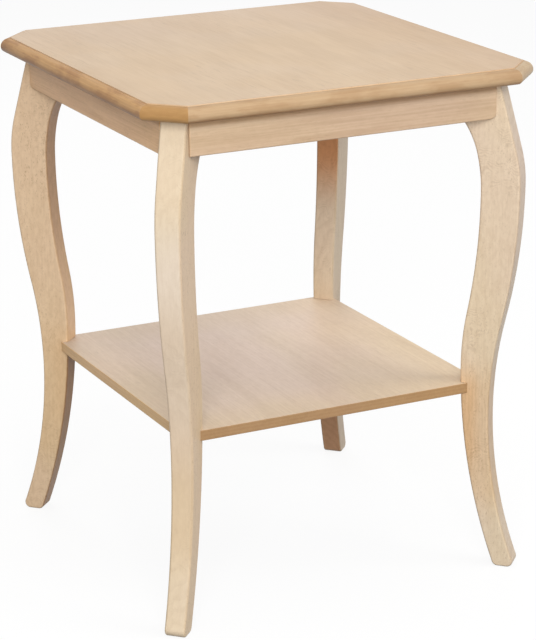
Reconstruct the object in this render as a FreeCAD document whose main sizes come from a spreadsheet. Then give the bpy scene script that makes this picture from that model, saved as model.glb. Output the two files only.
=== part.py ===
import FreeCAD, Part

# An end table with a shelf: a square top on four S-curved legs that stand on the table's diagonals.
#
# Millimetres, +Z up, origin on the floor under the middle of the table, front towards -Y.
# The legs slide in between the mitred ends of the aprons. One hanger bolt draws each leg tight
# against a corner block. The shelf's clipped corners sit in notches in the legs.

import os

import Sketcher
from FreeCAD import Placement, Rotation, Vector

doc = FreeCAD.newDocument("end_table")

# ---------------------------------------------------------------- driving dimensions
# The legs' reaches and insets are measured along the diagonal, out or in from the point where the
# aprons' outer faces would meet. Their drops are measured from the leg's top, rises from the floor.

SIZES = {
    # top
    "table_height": 600,
    "top_side": 480,
    "top_thick": 18,
    "corner_cut": 38,
    "step_drop": 1,
    "step_flat": 0.5,
    "ovolo_round": 10,
    # aprons
    "overhang": 29,
    "apron_high": 42,
    "apron_thick": 18,
    "apron_end_round": 6,
    "apron_ease": 1.5,
    # legs
    "leg_thick": 30,
    "foot_thick": 24,
    "leg_ease": 2.5,
    "foot_round": 7,
    "block_edge_inset": 65,
    "shoulder_slope": 14.8,
    "knee_reach": 12.2,
    "knee_drop": 121,
    "knee_round": 160,
    "turn_share": 0.59,
    "ankle_inset": 19,
    "ankle_rise": 189,
    "sweep_round": 520,
    "flare_drop": 84.5,
    "flare_round": 105,
    "inner_knee_inset": 33.5,
    "inner_knee_drop": 127.5,
    "inner_knee_round": 195,
    "inner_turn_share": 0.69,
    "inner_ankle_inset": 53.2,
    "inner_ankle_rise": 246,
    "inner_sweep_round": 715,
    # shelf
    "shelf_rise": 213,
    "shelf_thick": 12,
    "shelf_ease": 0.8,
    "notch_depth": 8.9,
    # corner blocks
    "block_thick": 22,
    "block_high": 32,
    # hanger bolts, washers and nuts
    "bolt_dia": 8,
    "bolt_bite": 37,
    "bolt_point": 8,
    "bolt_standout": 3,
    "washer_dia": 24,
    "washer_thick": 2,
    "nut_flats": 13,
    "nut_high": 6.5,
    # wood screws
    "screw_dia": 4,
    "screw_point": 5,
    "tip_dia": 0.8,
    "head_dia": 8,
    "head_high": 2.5,
    "head_chamfer": 1,
    "side_screw_seat": 9,
    "apron_cover": 3,
    "top_screw_recess": 4,
    "top_cover": 6,
    "top_screw_spread": 40,
    # dowels
    "dowel_dia": 6,
    "dowel_long": 28,
    "dowel_chamfer": 1,
    # clearances
    "slide_gap": 0.15,
    "notch_gap": 0.3,
    "hole_gap": 0.25,
    "bite_gap": 0.05,
}

# ---------------------------------------------------------------- places worked out from them

PLACES = {
    # top
    "leg_long": "Sizes.table_height - Sizes.top_thick",
    "top_half": "Sizes.top_side / 2",
    "top_straight": "top_half - Sizes.corner_cut",
    "clip_reach": "(top_half + top_straight) * cos(45)",
    "under_round": "Sizes.top_thick - Sizes.step_drop - Sizes.ovolo_round",
    # aprons: their mitred ends lie level with the legs' sides
    "apron_face": "top_half - Sizes.overhang",
    "apron_back": "apron_face - Sizes.apron_thick",
    "apron_foot": "leg_long - Sizes.apron_high",
    "mitre_step": "(Sizes.leg_thick + 2 * Sizes.slide_gap) * cos(45)",
    "face_end": "apron_face - mitre_step",
    "back_end": "apron_back - mitre_step",
    "corner_reach": "apron_face / cos(45)",
    # the outer edge of a leg
    "top_reach": "Sizes.knee_reach - Sizes.knee_round + (Sizes.knee_round"
                 " - Sizes.knee_drop * sin(Sizes.shoulder_slope)) / cos(Sizes.shoulder_slope)",
    "knee_rise": "leg_long - Sizes.knee_drop",
    "sway": "Sizes.knee_reach + Sizes.ankle_inset",
    "fall": "knee_rise - Sizes.ankle_rise",
    "turn_sum": "(sway ^ 2 + fall ^ 2) / (2 * sway)",
    "under_knee_round": "turn_sum * Sizes.turn_share",
    "over_ankle_round": "turn_sum - under_knee_round",
    "sweep_centre": "Sizes.sweep_round - Sizes.ankle_inset",
    "toe_centre": "sweep_centre - sqrt((Sizes.sweep_round + Sizes.foot_round) ^ 2"
                  " - (Sizes.ankle_rise - Sizes.foot_round) ^ 2)",
    # the inner edge of a leg
    "inner_knee_rise": "leg_long - Sizes.inner_knee_drop",
    "inner_sway": "Sizes.inner_ankle_inset - Sizes.inner_knee_inset",
    "inner_fall": "inner_knee_rise - Sizes.inner_ankle_rise",
    "inner_turn_sum": "(inner_sway ^ 2 + inner_fall ^ 2) / (2 * inner_sway)",
    "inner_under_round": "inner_turn_sum * Sizes.inner_turn_share",
    "inner_over_round": "inner_turn_sum - inner_under_round",
    "inner_sweep_centre": "Sizes.inner_sweep_round - Sizes.inner_ankle_inset",
    "heel_centre": "inner_sweep_centre - sqrt((Sizes.inner_sweep_round - Sizes.foot_round) ^ 2"
                   " - (Sizes.inner_ankle_rise - Sizes.foot_round) ^ 2)",
    "flare_sine": "(Sizes.inner_knee_drop - Sizes.flare_drop) / Sizes.inner_knee_round",
    "flare_shift": "Sizes.inner_knee_round - Sizes.flare_round",
    "flare_centre": "flare_shift * sqrt(1 - flare_sine ^ 2) - Sizes.inner_knee_round"
                    " - Sizes.inner_knee_inset",
    "flare_rise": "inner_knee_rise + flare_shift * flare_sine",
    # a leg's thickness: even beside the aprons, and tapered from there to the foot
    "leg_half": "Sizes.leg_thick / 2",
    "foot_half": "Sizes.foot_thick / 2",
    "leg_taper": "(leg_half - foot_half) / apron_foot",
    # shelf: its corner flats are as wide as the leg is thick there
    "shelf_flat_half": "foot_half + leg_taper * shelf_middle",
    "shelf_reach": "corner_reach - Sizes.inner_ankle_inset + Sizes.notch_depth",
    "shelf_half": "(shelf_reach + shelf_flat_half) * cos(45)",
    "shelf_straight": "(shelf_reach - shelf_flat_half) * cos(45)",
    "shelf_middle": "Sizes.shelf_rise + Sizes.shelf_thick / 2",
    "notch_back": "shelf_reach - corner_reach",
    "notch_top": "Sizes.shelf_rise + Sizes.shelf_thick + Sizes.notch_gap",
    "dowel_sunk": "Sizes.dowel_long / 2 + Sizes.hole_gap",
    "dowel_hole": "Sizes.dowel_dia / 2 + Sizes.bite_gap",
    # corner blocks: their slanted ends lie flat on the backs of two aprons
    "block_out": "corner_reach - Sizes.block_edge_inset",
    "block_in": "block_out - Sizes.block_thick",
    "block_middle": "block_out - Sizes.block_thick / 2",
    "block_foot": "leg_long - Sizes.block_high",
    "block_level": "leg_long - Sizes.block_high / 2",
    "back_reach": "apron_back / cos(45)",
    "wing_out": "back_reach - block_out",
    "wing_in": "back_reach - block_in",
    "wing_middle": "back_reach - block_middle",
    # bolts and screws
    "bolt_hole": "Sizes.bolt_dia / 2 + Sizes.hole_gap",
    "bolt_start": "block_in - Sizes.washer_thick - Sizes.nut_high - Sizes.bolt_standout",
    "bolt_long": "block_out - bolt_start + Sizes.bolt_bite",
    "screw_hole": "Sizes.screw_dia / 2 + Sizes.hole_gap",
    "screw_pilot": "Sizes.screw_dia / 2 + Sizes.bite_gap",
    "seat_hole": "Sizes.head_dia / 2 + Sizes.hole_gap",
    "side_seat_reach": "block_middle - Sizes.side_screw_seat * cos(45)",
    "side_seat_aside": "wing_middle - Sizes.side_screw_seat * cos(45)",
    "side_screw_bite": "Sizes.apron_thick - Sizes.apron_cover",
    "side_screw_long": "Sizes.side_screw_seat + side_screw_bite",
    "top_seat_rise": "block_foot + Sizes.top_screw_recess",
    "top_screw_bite": "Sizes.top_thick - Sizes.top_cover",
    "top_screw_long": "Sizes.block_high - Sizes.top_screw_recess + top_screw_bite",
    "top_screw_aside": "Sizes.top_screw_spread / 2",
}


def fill_sheet(name, rows):
    """Writes each row's text beside its name, and gives the cell that name as its alias."""
    sheet = doc.addObject("Spreadsheet::Sheet", name)
    for row, (alias, content) in enumerate(rows.items(), start=1):
        sheet.set(f"A{row}", alias)
        sheet.set(f"B{row}", content)
        sheet.setAlias(f"B{row}", alias)
    return sheet


sizes = fill_sheet("Sizes", {alias: str(number) for alias, number in SIZES.items()})
places = fill_sheet("Places", {alias: "=" + formula for alias, formula in PLACES.items()})
doc.recompute()


def value(expression):
    """The number that an expression over the two sheets has now."""
    return float(places.evalExpression(expression))


# ---------------------------------------------------------------- directions and helpers

UP = Vector(0, 0, 1)
STRAIGHT = Rotation()
ALONG_X = Rotation(Vector(0, 1, 0), 90)
AGAINST_Y = Rotation(Vector(1, 0, 0), 90)
# a quarter of a turn, and the turns about Z that bring a piece to its side or corner of the table
QUARTER = 90
MITRE = QUARTER / 2
SIDES = {name: QUARTER * turn for turn, name in enumerate(["front", "right", "back", "left"])}
CORNERS = {
    name: MITRE + QUARTER * turn
    for turn, name in enumerate(["back_right", "back_left", "front_left", "front_right"])
}
HANDS = dict(right=-1, left=1)
# how far a cutter runs past the wood
OVERRUN = 5
NEAR = 1e-4


def outward(angle):
    """Turns the Z axis to point out along a horizontal direction."""
    return Rotation(UP, angle).multiply(ALONG_X)


def minus(expression):
    return f"-({expression})"


def at_corner(angle, reach, aside, rise):
    """Expressions for a point that lies out along a diagonal and aside from it."""
    cosine = f"cos({angle})"
    sine = f"sin({angle})"
    return (
        f"({reach}) * {cosine} - ({aside}) * {sine}",
        f"({reach}) * {sine} + ({aside}) * {cosine}",
        rise,
    )


def bind(thing, **bindings):
    """Ties properties of an object to expressions over the two sheets."""
    for prop, expression in bindings.items():
        thing.setExpression(prop, expression)


def bind_place(thing, prop, place):
    for axis, expression in zip("xyz", place):
        thing.setExpression(f"{prop}.Base.{axis}", expression)


def put(thing, place, rotation):
    thing.Placement = Placement(Vector(), rotation)
    bind_place(thing, "Placement", place)


def new_body(name, place, angle=0):
    body = doc.addObject("PartDesign::Body", name)
    put(body, place, Rotation(UP, angle))
    return body


def origin_feature(body, role):
    return next(feature for feature in body.Origin.OriginFeatures if feature.Role == role)


def new_sketch(body, name, role="XY_Plane", rotation=STRAIGHT):
    sketch = body.newObject("Sketcher::SketchObject", name)
    sketch.AttachmentSupport = [(origin_feature(body, role), "")]
    sketch.MapMode = "FlatFace"
    sketch.AttachmentOffset = Placement(Vector(), rotation)
    return sketch


class Outline:
    """A closed chain of lines and arcs in a sketch, joined end to end."""

    # the sketcher's own numbers for the points of a line or an arc
    START, END, CENTRE = range(1, 4)
    ORIGIN = (-1, START)

    def __init__(self, sketch):
        self.sketch = sketch
        self.links = []

    def line(self, start, end, smooth=False):
        """smooth says that this link leaves the one before it in the same direction."""
        index = self.sketch.addGeometry(Part.LineSegment(Vector(*start), Vector(*end)))
        self.links.append((index, self.START, self.END, smooth))
        return index

    def arc(self, centre, start, end, clockwise, smooth=True):
        middle, start, end = (Vector(*point) for point in (centre, start, end))
        first, last = (end, start) if clockwise else (start, end)
        circle = Part.Circle(middle, UP, (start - middle).Length)
        angles = [circle.parameter(point) for point in (first, last)]
        index = self.sketch.addGeometry(Part.ArcOfCircle(circle, *angles))
        ends = (self.END, self.START) if clockwise else (self.START, self.END)
        self.links.append((index, *ends, smooth))
        return index

    def close(self):
        for before, after in zip(self.links[-1:] + self.links[:-1], self.links):
            kind = "Tangent" if after[3] else "Coincident"
            join = Sketcher.Constraint(kind, before[0], before[2], after[0], after[1])
            self.sketch.addConstraint(join)

    def fix(self, name, kind, *where, to):
        """Adds a named dimension that follows an expression."""
        number = self.sketch.addConstraint(Sketcher.Constraint(kind, *where, value(to)))
        self.sketch.renameConstraint(number, name)
        self.sketch.setExpression(f"Constraints.{name}", to)

    def place(self, name, geometry, point, across=None, up=None):
        """Fixes a point of the chain by its distances from the sketch's origin."""
        if across:
            self.fix(name + "_across", "DistanceX", *self.ORIGIN, geometry, point, to=across)
        if up:
            self.fix(name + "_up", "DistanceY", *self.ORIGIN, geometry, point, to=up)


def polygon(sketch, corners):
    """A closed polygon through named corners, each given by two expressions."""
    outline = Outline(sketch)
    points = [(value(across), value(up)) for across, up in corners.values()]
    for start, end in zip(points, points[1:] + points[:1]):
        outline.line(start, end)
    outline.close()
    for index, (name, (across, up)) in enumerate(corners.items()):
        outline.place(name, index, Outline.START, across, up)


def clipped_square(sketch, half, straight):
    """A square with its corners cut off. straight is how far its sides run from the middle."""
    polygon(sketch, {
        "right_back": (half, straight),
        "back_right": (straight, half),
        "back_left": (minus(straight), half),
        "left_back": (minus(half), straight),
        "left_front": (minus(half), minus(straight)),
        "front_left": (minus(straight), minus(half)),
        "front_right": (straight, minus(half)),
        "right_front": (half, minus(straight)),
    })


def pad(body, sketch, name, length, midplane=False):
    feature = body.newObject("PartDesign::Pad", name)
    feature.Profile = sketch
    feature.Midplane = midplane
    bind(feature, Length=length)
    doc.recompute()
    return feature


def must_shrink(body, before, name):
    if body.Shape.Volume > before - NEAR:
        raise RuntimeError(f"{name} cuts nothing from {body.Label}")


def cut_through(body, sketch, name):
    before = body.Shape.Volume
    feature = body.newObject("PartDesign::Pocket", name)
    feature.Profile = sketch
    feature.Type = "ThroughAll"
    feature.Midplane = True
    doc.recompute()
    must_shrink(body, before, name)
    return feature


def drill(body, name, radius, depth, place, rotation):
    """Bores a round hole from a place, along the turned Z axis."""
    before = body.Shape.Volume
    hole = body.newObject("PartDesign::SubtractiveCylinder", name)
    hole.AttachmentSupport = [(origin_feature(body, "XY_Plane"), "")]
    hole.MapMode = "FlatFace"
    hole.AttachmentOffset = Placement(Vector(), rotation)
    bind(hole, Radius=radius, Height=depth)
    bind_place(hole, "AttachmentOffset", place)
    body.Tip = hole
    doc.recompute()
    must_shrink(body, before, name)


def round_edges(body, name, radius, wanted):
    """Fillets those edges of the body's last feature that the test picks out."""
    base = body.Tip
    edges = [f"Edge{i}" for i, edge in enumerate(base.Shape.Edges, start=1) if wanted(edge)]
    feature = body.newObject("PartDesign::Fillet", name)
    feature.Base = (base, edges)
    bind(feature, Radius=radius)
    doc.recompute()


def ends_and_middle(edge):
    middle = edge.valueAt((edge.FirstParameter + edge.LastParameter) / 2)
    return [vertex.Point for vertex in edge.Vertexes] + [middle]


def lies_at(edge, axis, level):
    """True if both ends and the middle of an edge have one level on one axis."""
    return all(abs(getattr(point, axis) - level) < NEAR for point in ends_and_middle(edge))


# ---------------------------------------------------------------- tabletop


def moulding_waste(body, name, edge, rotation):
    """What the edge cutter takes away: a small step, a quarter round and a rounded lower edge.

    edge says how far out the moulding's nose lies.
    """
    face_in = f"{edge} - Sizes.ovolo_round - Sizes.step_flat"
    ovolo_in = f"{edge} - Sizes.ovolo_round"
    under_in = f"{edge} - Places.under_round"
    beyond = f"{edge} + {OVERRUN}"
    step = "Sizes.top_thick - Sizes.step_drop"
    above = f"Sizes.top_thick + {OVERRUN}"
    below = f"-{OVERRUN}"
    nose_rise = "Places.under_round"

    corners = [(face_in, above), (face_in, step), (ovolo_in, step), (edge, nose_rise),
               (under_in, "0"), (under_in, below), (beyond, below), (beyond, above)]
    points = [(value(across), value(up)) for across, up in corners]
    step_top, step_foot, step_out, nose, under, under_end, low, high = points
    outline = Outline(new_sketch(body, name, "XZ_Plane", rotation))
    side = outline.line(step_top, step_foot)
    flat = outline.line(step_foot, step_out)
    ovolo = outline.arc((value(ovolo_in), value(nose_rise)), step_out, nose, True, smooth=False)
    under_arc = outline.arc((value(under_in), value(nose_rise)), nose, under, True)
    drop = outline.line(under, under_end)
    floor = outline.line(under_end, low)
    wall = outline.line(low, high)
    roof = outline.line(high, step_top)
    outline.close()
    outline.place("step_top", side, Outline.START, face_in, above)
    outline.place("step_foot", flat, Outline.START, face_in, step)
    outline.place("step_out", flat, Outline.END, ovolo_in, step)
    outline.place("ovolo", ovolo, Outline.CENTRE, ovolo_in, nose_rise)
    outline.place("under", under_arc, Outline.CENTRE, under_in, nose_rise)
    outline.place("under_foot", drop, Outline.START, under_in)
    outline.place("under_end", floor, Outline.START, under_in, below)
    outline.place("low", wall, Outline.START, beyond, below)
    outline.place("high", roof, Outline.START, beyond, above)
    return outline.sketch


def make_tabletop():
    body = new_body("tabletop", ("0", "0", "Places.leg_long"))
    plan = new_sketch(body, "top_plan")
    clipped_square(plan, "Places.top_half", "Places.top_straight")
    pad(body, plan, "top_board", "Sizes.top_thick")
    side_waste = moulding_waste(body, "side_waste", "Places.top_half", STRAIGHT)
    side = cut_through(body, side_waste, "side_moulding")
    across_corner = Rotation(Vector(0, 1, 0), MITRE)
    clip_waste = moulding_waste(body, "clip_waste", "Places.clip_reach", across_corner)
    clip = cut_through(body, clip_waste, "clip_moulding")
    pattern = body.newObject("PartDesign::PolarPattern", "mouldings")
    pattern.Originals = [side, clip]
    pattern.Axis = (origin_feature(body, "Z_Axis"), [""])
    pattern.Angle = QUARTER * len(SIDES)
    pattern.Occurrences = len(SIDES)
    body.Tip = pattern
    doc.recompute()
    for corner, angle in CORNERS.items():
        for hand, sign in HANDS.items():
            place = at_corner(angle, "Places.block_middle", f"{sign} * Places.top_screw_aside", "0")
            depth = "Places.top_screw_bite + Sizes.hole_gap"
            drill(body, f"top_pilot_{corner}_{hand}", "Places.screw_pilot", depth, place, STRAIGHT)
    return body


# ---------------------------------------------------------------- aprons


def make_apron(side, angle, rounded):
    """rounded says which end, 1 for right and -1 for left from outside, has its lower corner round."""
    body = new_body(f"apron_{side}", ("0", "0", "Places.apron_foot"), angle)
    plan = new_sketch(body, f"apron_{side}_plan")
    face, back = minus("Places.apron_face"), minus("Places.apron_back")
    polygon(plan, {
        "face_left": (minus("Places.face_end"), face),
        "face_right": ("Places.face_end", face),
        "back_right": ("Places.back_end", back),
        "back_left": (minus("Places.back_end"), back),
    })
    pad(body, plan, f"apron_{side}_board", "Sizes.apron_high")

    def is_lower_corner(edge):
        start, end = (vertex.Point for vertex in edge.Vertexes)
        mitred = abs(abs(start.x - end.x) - abs(start.y - end.y)) < NEAR
        return lies_at(edge, "z", 0) and mitred and start.x * rounded > 0

    def is_outer_arris(edge):
        return lies_at(edge, "y", value(face)) and not lies_at(edge, "z", value("Sizes.apron_high"))

    round_edges(body, f"apron_{side}_corner", "Sizes.apron_end_round", is_lower_corner)
    round_edges(body, f"apron_{side}_arris", "Sizes.apron_ease", is_outer_arris)
    for hand, sign in HANDS.items():
        # the screws leave the block's wings square to the apron
        across = f"{sign} * (Places.block_middle - Places.wing_middle) * cos(45)"
        place = (across, back, "Places.block_level - Places.apron_foot")
        depth = "Places.side_screw_bite + Sizes.hole_gap"
        drill(body, f"apron_{side}_pilot_{hand}", "Places.screw_pilot", depth, place, AGAINST_Y)
    return body


# ---------------------------------------------------------------- legs

# The smooth arcs of a leg's edge, clockwise from the knee round the foot and up the inner edge:
# centre across, centre up and radius, which is negative where the wood is hollow.
LEG_ARCS = {
    "knee": ("Sizes.knee_reach - Sizes.knee_round", "Places.knee_rise", "Sizes.knee_round"),
    "under_knee": ("Sizes.knee_reach - Places.under_knee_round", "Places.knee_rise",
                   "Places.under_knee_round"),
    "over_ankle": ("Places.over_ankle_round - Sizes.ankle_inset", "Sizes.ankle_rise",
                   "-Places.over_ankle_round"),
    "sweep": ("Places.sweep_centre", "Sizes.ankle_rise", "-Sizes.sweep_round"),
    "toe": ("Places.toe_centre", "Sizes.foot_round", "Sizes.foot_round"),
    "heel": ("Places.heel_centre", "Sizes.foot_round", "Sizes.foot_round"),
    "inner_sweep": ("Places.inner_sweep_centre", "Sizes.inner_ankle_rise",
                    "Sizes.inner_sweep_round"),
    "inner_over": ("Places.inner_over_round - Sizes.inner_ankle_inset", "Sizes.inner_ankle_rise",
                   "Places.inner_over_round"),
    "inner_under": ("-Sizes.inner_knee_inset - Places.inner_under_round", "Places.inner_knee_rise",
                    "-Places.inner_under_round"),
    "inner_knee": ("-Sizes.inner_knee_inset - Sizes.inner_knee_round", "Places.inner_knee_rise",
                   "-Sizes.inner_knee_round"),
    "flare": ("Places.flare_centre", "Places.flare_rise", "-Sizes.flare_round"),
}


def leg_outline(sketch):
    """The side of a leg, across along the diagonal and up from the floor."""
    numbers = {name: [value(text) for text in arc] for name, arc in LEG_ARCS.items()}
    centres = {name: Vector(across, up) for name, (across, up, _) in numbers.items()}
    radii = {name: radius for name, (_, _, radius) in numbers.items()}

    def meeting(first, second):
        """Where two arcs run into one another: on the line through their centres."""
        apart = centres[second] - centres[first]
        return centres[first] + apart * (radii[first] / (radii[first] - radii[second]))

    slope = Rotation(UP, value("Sizes.shoulder_slope")).multVec(Vector(1, 0, 0))
    block_edge = minus("Sizes.block_edge_inset")
    top_in = Vector(value(block_edge), value("Places.leg_long"))
    top_out = Vector(value("Places.top_reach"), value("Places.leg_long"))
    flare_across = value(block_edge) - centres["flare"].x
    flare_up = (radii["flare"] ** 2 - flare_across ** 2) ** 0.5
    starts = {"knee": centres["knee"] + slope * radii["knee"]}
    ends = {"flare": centres["flare"] + Vector(flare_across, flare_up)}
    ends["toe"] = centres["toe"] - Vector(0, radii["toe"])
    starts["heel"] = centres["heel"] - Vector(0, radii["heel"])
    names = list(LEG_ARCS)
    for first, second in zip(names, names[1:]):
        if first != "toe":
            ends[first] = starts[second] = meeting(first, second)

    outline = Outline(sketch)
    top = outline.line(top_in, top_out)
    outline.line(top_out, starts["knee"])
    arcs = {}
    for name in names:
        if name == "heel":
            outline.line(ends["toe"], starts["heel"], smooth=True)
        arcs[name] = outline.arc(centres[name], starts[name], ends[name], radii[name] > 0)
    edge = outline.line(ends["flare"], top_in)
    outline.close()
    outline.place("top_in", top, Outline.START, block_edge, "Places.leg_long")
    outline.place("top_out", top, Outline.END, "Places.top_reach", "Places.leg_long")
    outline.place("block_edge", edge, Outline.START, block_edge)
    outline.fix("knee_radius", "Radius", arcs["knee"], to="Sizes.knee_round")
    for name, (across, up, _) in LEG_ARCS.items():
        outline.place(name, arcs[name], Outline.CENTRE, across, up)


def make_leg(corner, angle):
    body = new_body(f"leg_{corner}", at_corner(angle, "Places.corner_reach", "0", "0"), angle)
    mouth = minus("Sizes.block_edge_inset")
    side = new_sketch(body, f"leg_{corner}_side", "XZ_Plane")
    leg_outline(side)
    pad(body, side, f"leg_{corner}_board", "Sizes.leg_thick", midplane=True)
    for hand, sign in HANDS.items():
        taper = new_sketch(body, f"leg_{corner}_taper_{hand}", "YZ_Plane")
        beyond = f"{sign} * (Places.leg_half + {OVERRUN})"
        polygon(taper, {
            "foot": (f"{sign} * Places.foot_half", "0"),
            "start": (f"{sign} * Places.leg_half", "Places.apron_foot"),
            "start_beyond": (beyond, "Places.apron_foot"),
            "foot_beyond": (beyond, "0"),
        })
        cut_through(body, taper, f"leg_{corner}_slope_{hand}")
    foot_half, leg_half = value("Places.foot_half"), value("Places.leg_half")
    taper_slope = value("Places.leg_taper")

    def on_wide_face(point):
        return abs(abs(point.y) - min(foot_half + taper_slope * point.z, leg_half)) < NEAR

    def is_seen_arris(edge):
        """The leg stays square at its top and where it bears on the corner block."""
        levels = (value("Places.leg_long"), value("Places.apron_foot"))
        square = any(lies_at(edge, "z", level) for level in levels) or lies_at(edge, "x", value(mouth))
        return all(map(on_wide_face, ends_and_middle(edge))) and not square

    round_edges(body, f"leg_{corner}_arris", "Sizes.leg_ease", is_seen_arris)
    notch = new_sketch(body, f"leg_{corner}_notch_side", "XZ_Plane")
    polygon(notch, {
        "mouth_low": (mouth, "Sizes.shelf_rise"),
        "back_low": ("Places.notch_back", "Sizes.shelf_rise"),
        "back_high": ("Places.notch_back", "Places.notch_top"),
        "mouth_high": (mouth, "Places.notch_top"),
    })
    cut_through(body, notch, f"leg_{corner}_notch")
    drill(body, f"leg_{corner}_bolt_hole", "Sizes.bolt_dia / 2 + Sizes.bite_gap",
          "Sizes.bolt_bite + Sizes.hole_gap", (mouth, "0", "Places.block_level"), ALONG_X)
    drill(body, f"leg_{corner}_dowel_hole", "Places.dowel_hole", "Places.dowel_sunk",
          ("Places.notch_back", "0", "Places.shelf_middle"), ALONG_X)
    return body


# ---------------------------------------------------------------- shelf


def make_shelf():
    body = new_body("shelf", ("0", "0", "Sizes.shelf_rise"))
    plan = new_sketch(body, "shelf_plan")
    clipped_square(plan, "Places.shelf_half", "Places.shelf_straight")
    pad(body, plan, "shelf_board", "Sizes.shelf_thick")

    def is_side_arris(edge):
        level = lies_at(edge, "z", 0) or lies_at(edge, "z", value("Sizes.shelf_thick"))
        half = value("Places.shelf_half")
        side = any(lies_at(edge, axis, sign * half) for axis in "xy" for sign in (-1, 1))
        return level and side

    round_edges(body, "shelf_arris", "Sizes.shelf_ease", is_side_arris)
    for corner, angle in CORNERS.items():
        reach = "Places.shelf_reach - Places.dowel_sunk"
        place = at_corner(angle, reach, "0", "Sizes.shelf_thick / 2")
        drill(body, f"shelf_dowel_hole_{corner}", "Places.dowel_hole", "Places.dowel_sunk", place,
              outward(angle))
    return body


# ---------------------------------------------------------------- corner blocks


def make_corner_block(corner, angle):
    """Its X axis runs out along the diagonal."""
    body = new_body(f"corner_block_{corner}", ("0", "0", "Places.block_foot"), angle)
    plan = new_sketch(body, f"block_{corner}_plan")
    polygon(plan, {
        "inner_right": ("Places.block_in", minus("Places.wing_in")),
        "outer_right": ("Places.block_out", minus("Places.wing_out")),
        "outer_left": ("Places.block_out", "Places.wing_out"),
        "inner_left": ("Places.block_in", "Places.wing_in"),
    })
    pad(body, plan, f"block_{corner}_wood", "Sizes.block_high")
    level = "Sizes.block_high / 2"
    drill(body, f"block_{corner}_bolt_hole", "Places.bolt_hole", "Sizes.block_thick",
          ("Places.block_in", "0", level), ALONG_X)
    for hand, sign in HANDS.items():
        seat = ("Places.side_seat_reach", f"{sign} * Places.side_seat_aside", level)
        drill(body, f"block_{corner}_side_hole_{hand}", "Places.screw_hole",
              "Sizes.side_screw_seat", seat, outward(MITRE * sign))
        drill(body, f"block_{corner}_side_seat_{hand}", "Places.seat_hole",
              "Sizes.block_thick", seat, outward(MITRE * sign + 2 * QUARTER))
        foot = ("Places.block_middle", f"{sign} * Places.top_screw_aside", "0")
        drill(body, f"block_{corner}_top_hole_{hand}", "Places.screw_hole",
              "Sizes.block_high", foot, STRAIGHT)
        drill(body, f"block_{corner}_top_seat_{hand}", "Places.seat_hole",
              "Sizes.top_screw_recess", foot, STRAIGHT)
    return body


# ---------------------------------------------------------------- fasteners


def turned(name, profile, place, rotation):
    """A turned solid of stacked cylinders and cones, from (radius, distance along) expressions."""
    sections = []
    for index, (low, high) in enumerate(zip(profile, profile[1:])):
        if low[1] == high[1]:
            continue
        straight = low[0] == high[0]
        section = doc.addObject("Part::Cylinder" if straight else "Part::Cone", f"{name}_{index}")
        if straight:
            bind(section, Radius=low[0])
        else:
            bind(section, Radius1=low[0], Radius2=high[0])
        bind(section, Height=f"({high[1]}) - ({low[1]})")
        bind_place(section, "Placement", ("0", "0", low[1]))
        sections.append(section)
    piece = doc.addObject("Part::MultiFuse", name)
    piece.Shapes = sections
    put(piece, place, rotation)
    return piece


def ring(name, outside, hole_radius, height, place, rotation):
    """A disc or a prism with a round hole through it."""
    bind(outside, Height=height)
    hole = doc.addObject("Part::Cylinder", f"{name}_hole")
    bind(hole, Radius=hole_radius, Height=height)
    piece = doc.addObject("Part::Cut", name)
    piece.Base = outside
    piece.Tool = hole
    put(piece, place, rotation)
    return piece


def group(name, pieces):
    compound = doc.addObject("Part::Compound", name)
    compound.Links = pieces
    return compound


def make_leg_bolts():
    """Hanger bolts: a pointed half in the leg's wood and a machine half through the block."""
    thread = "Sizes.bolt_dia / 2"
    profile = [
        (f"{thread} - Sizes.head_chamfer", "0"),
        (thread, "Sizes.head_chamfer"),
        (thread, "Places.bolt_long - Sizes.bolt_point"),
        ("Sizes.tip_dia / 2", "Places.bolt_long"),
    ]
    return group("leg_bolts", [
        turned(f"leg_bolt_{corner}", profile,
               at_corner(angle, "Places.bolt_start", "0", "Places.block_level"), outward(angle))
        for corner, angle in CORNERS.items()
    ])


def make_leg_washers():
    washers = []
    for corner, angle in CORNERS.items():
        disc = doc.addObject("Part::Cylinder", f"washer_disc_{corner}")
        bind(disc, Radius="Sizes.washer_dia / 2")
        place = at_corner(angle, "Places.block_in - Sizes.washer_thick", "0", "Places.block_level")
        washers.append(ring(f"washer_{corner}", disc, "Places.bolt_hole", "Sizes.washer_thick",
                            place, outward(angle)))
    return group("leg_washers", washers)


def make_leg_nuts():
    nuts = []
    for corner, angle in CORNERS.items():
        hexagon = doc.addObject("Part::Prism", f"nut_hexagon_{corner}")
        hexagon.Polygon = 6
        bind(hexagon, Circumradius="Sizes.nut_flats / 2 / cos(30)")
        reach = "Places.block_in - Sizes.washer_thick - Sizes.nut_high"
        place = at_corner(angle, reach, "0", "Places.block_level")
        nuts.append(ring(f"nut_{corner}", hexagon, "Sizes.bolt_dia / 2 + Sizes.bite_gap",
                         "Sizes.nut_high", place, outward(angle)))
    return group("leg_nuts", nuts)


def screw_profile(length):
    """A pan-headed wood screw that points along Z, with the underside of its head at zero."""
    head = "Sizes.head_dia / 2"
    thread = "Sizes.screw_dia / 2"
    return [
        (f"{head} - Sizes.head_chamfer", "-Sizes.head_high"),
        (head, "-Sizes.head_high + Sizes.head_chamfer"),
        (head, "0"),
        (thread, "0"),
        (thread, f"{length} - Sizes.screw_point"),
        ("Sizes.tip_dia / 2", length),
    ]


def make_block_screws():
    screws = []
    for corner, angle in CORNERS.items():
        for hand, sign in HANDS.items():
            aside = f"{sign} * Places.side_seat_aside"
            place = at_corner(angle, "Places.side_seat_reach", aside, "Places.block_level")
            screws.append(turned(f"block_screw_{corner}_{hand}",
                                 screw_profile("Places.side_screw_long"), place,
                                 outward(angle + MITRE * sign)))
    return group("block_screws", screws)


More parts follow.
